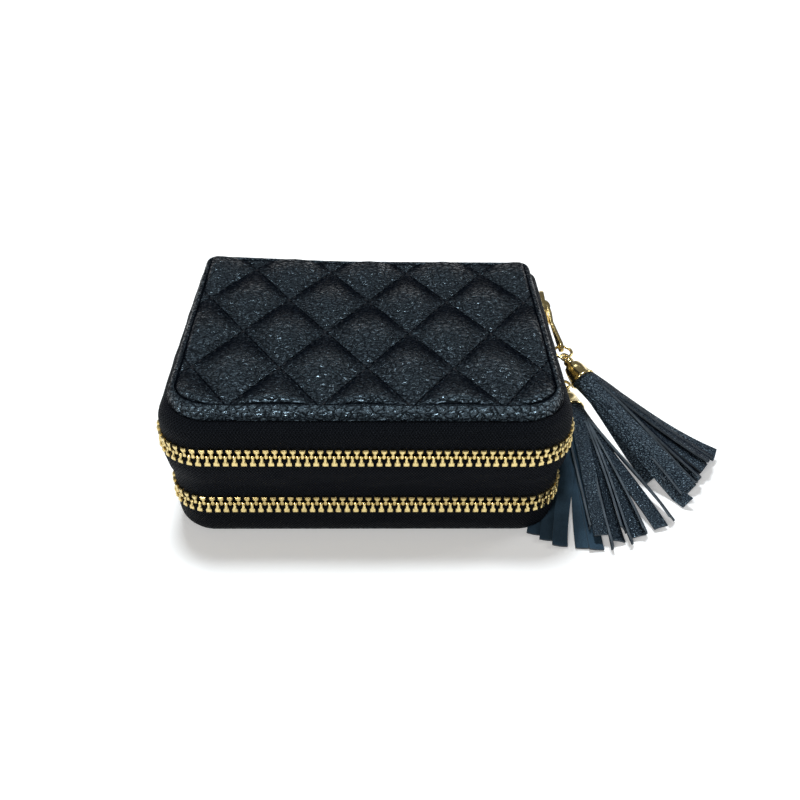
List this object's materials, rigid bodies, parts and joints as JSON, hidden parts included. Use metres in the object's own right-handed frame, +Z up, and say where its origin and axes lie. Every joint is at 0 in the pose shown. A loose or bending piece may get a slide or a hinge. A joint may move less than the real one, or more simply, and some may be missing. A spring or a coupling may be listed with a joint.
{
  "type": "jewellery case",
  "caption": "Two-tier jewellery case with a quilted leather lid, two zips round three sides, tray compartments inside and a leather tassel on each zip puller.",
  "frame": {"origin": "centre of the case's underside", "axes": "+X to the side with the sliders, +Y to the spine, +Z up"},
  "size_m": [0.1763, 0.0945, 0.0462],
  "materials": {
    "quilted_leather": "pebbled, semi-gloss",
    "cover_leather": "pebbled, semi-gloss",
    "zip_tape": "woven, matt",
    "zip_brass": "polished",
    "slider_brass": "polished",
    "tassel_leather": "pebbled outside, matt flesh side",
    "lining_velvet": "short pile",
    "stiff_board": "raw",
    "wadding": "soft"
  },
  "bodies": {
    "base": {"base_leather": "cover_leather", "base_board": "stiff_board", "base_lining": "lining_velvet", "base_spine": "cover_leather", "lower_zip_lower_tape": "zip_tape", "lower_zip_lower_teeth": "zip_brass", "lower_zip_lower_side_teeth": "zip_brass", "lower_zip_lower_stops": "zip_brass", "lower_tray_wall": "lining_velvet", "lower_tray_dividers": "lining_velvet"},
    "middle": {"middle_board": "stiff_board", "middle_top_lining": "lining_velvet", "middle_under_lining": "lining_velvet", "middle_spine": "cover_leather", "upper_zip_lower_tape": "zip_tape", "upper_zip_lower_teeth": "zip_brass", "upper_zip_lower_side_teeth": "zip_brass", "upper_zip_lower_stops": "zip_brass", "lower_zip_upper_tape": "zip_tape", "lower_zip_upper_teeth": "zip_brass", "lower_zip_upper_side_teeth": "zip_brass", "lower_zip_upper_stop": "zip_brass", "upper_tray_wall": "lining_velvet", "upper_tray_dividers": "lining_velvet", "ring_rolls": "lining_velvet"},
    "lid": {"lid_leather": "quilted_leather", "lid_wadding": "wadding", "lid_board": "stiff_board", "lid_lining": "lining_velvet", "lid_pocket": "lining_velvet", "lid_spine": "cover_leather", "upper_zip_upper_tape": "zip_tape", "upper_zip_upper_teeth": "zip_brass", "upper_zip_upper_side_teeth": "zip_brass", "upper_zip_upper_stop": "zip_brass"},
    "upper_slider": {"upper_slider": "slider_brass"},
    "lower_slider": {"lower_slider": "slider_brass"},
    "upper_pull": {"upper_pull": "slider_brass"},
    "lower_pull": {"lower_pull": "slider_brass"},
    "upper_tassel": {"upper_tassel_ring": "slider_brass", "upper_tassel_cap": "slider_brass", "upper_tassel_fringe": "tassel_leather"},
    "lower_tassel": {"lower_tassel_ring": "slider_brass", "lower_tassel_cap": "slider_brass", "lower_tassel_fringe": "tassel_leather"}
  },
  "joints": [
    {"name": "lower_fold", "type": "hinge", "parent": "base", "child": "middle", "pos_m": [0, 0.04275, 0.0125], "axis": [-1, 0, 0], "range_deg": [0, 80], "deforming": ["lower_zip_upper_side_teeth"]},
    {"name": "upper_fold", "type": "hinge", "parent": "middle", "child": "lid", "pos_m": [0, 0.04275, 0.0315], "axis": [-1, 0, 0], "range_deg": [0, 100], "deforming": ["upper_zip_upper_side_teeth"]},
    {"name": "upper_slide", "type": "slide", "parent": "middle", "child": "upper_slider", "axis": [0, -1, 0], "range_m": [0, 0.058], "deforming": ["upper_zip_lower_side_teeth"]},
    {"name": "lower_slide", "type": "slide", "parent": "base", "child": "lower_slider", "axis": [0, -1, 0], "range_m": [0, 0.058], "deforming": ["lower_zip_lower_side_teeth"]},
    {"name": "upper_pull_turn", "type": "hinge", "parent": "upper_slider", "child": "upper_pull", "pos_m": [0.0619, 0.0367, 0.0315], "axis": [0.0079, -0.0868, 0.9962], "range_deg": [0, 110]},
    {"name": "lower_pull_turn", "type": "hinge", "parent": "lower_slider", "child": "lower_pull", "pos_m": [0.0599, 0.0367, 0.0125], "axis": [-0.0262, 0.119, 0.9925], "range_deg": [0, 110]},
    {"name": "upper_tassel_swing", "type": "hinge", "parent": "upper_pull", "child": "upper_tassel", "pos_m": [0.06398, 0.01388, 0.0295], "axis": [-0.9959, -0.0906, 0], "range_deg": [0, 90], "deforming": ["upper_tassel_fringe"]},
    {"name": "lower_tassel_swing", "type": "hinge", "parent": "lower_pull", "child": "lower_tassel", "pos_m": [0.06542, 0.01159, 0.01566], "axis": [-0.0262, 0.119, 0.9925], "range_deg": [0, 45], "deforming": ["lower_tassel_fringe"]}
  ]
}
